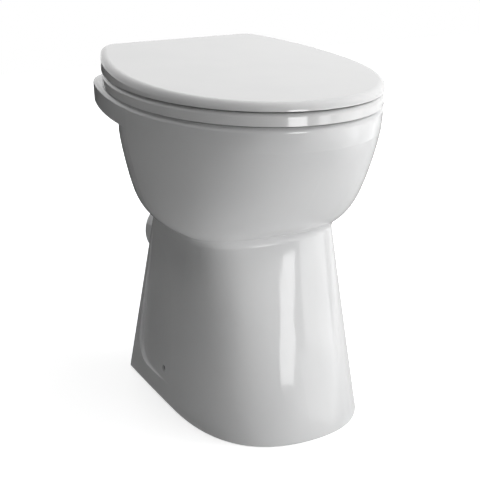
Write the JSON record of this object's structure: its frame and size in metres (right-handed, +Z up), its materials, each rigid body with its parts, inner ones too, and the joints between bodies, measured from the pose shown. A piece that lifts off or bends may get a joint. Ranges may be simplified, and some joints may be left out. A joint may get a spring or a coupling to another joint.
{
  "type": "floor-standing toilet",
  "caption": "Raised-height floor-standing ceramic toilet pan with horizontal rear outlet, and a hinged seat ring and lid closed over the bowl.",
  "frame": {"origin": "middle of the bounding box at floor level", "axes": "+Z up, front of the bowl towards -Y, +X to the right seen from the front"},
  "size_m": [0.36, 0.482, 0.5092],
  "materials": {
    "pan": "white glaze over vitreous china",
    "seat": "polished white moulding",
    "lid": "polished white moulding",
    "buffer": "moulded grey rubber",
    "steel": "brushed stainless steel",
    "bush": "natural white nylon",
    "gasket": "black rubber",
    "nut": "moulded nylon",
    "bracket": "zinc-plated steel"
  },
  "bodies": {
    "pan": {"pan": "pan", "hinge_post_left": "steel", "hinge_post_right": "steel", "hinge_pins": "steel", "hinge_gaskets": "gasket", "hinge_studs": "steel", "cone_washers": "gasket", "hinge_washers": "steel", "wing_nuts": "nut", "floor_bracket_left": "bracket", "floor_bracket_right": "bracket", "side_screws": "steel", "side_sleeves": "bush", "side_washers": "steel", "bracket_nuts": "steel"},
    "seat": {"seat_ring": "seat", "seat_buffers": "buffer", "seat_bushes": "bush"},
    "lid": {"lid": "lid", "lid_buffers": "buffer", "lid_bushes": "bush"}
  },
  "joints": [
    {"name": "seat_hinge", "type": "hinge", "parent": "pan", "child": "seat", "pos_m": [0, 0.219, 0.494], "axis": [-1, 0, 0], "range_deg": [0, 94]},
    {"name": "lid_hinge", "type": "hinge", "parent": "seat", "child": "lid", "pos_m": [0, 0.219, 0.494], "axis": [-1, 0, 0], "range_deg": [0, 96]}
  ]
}
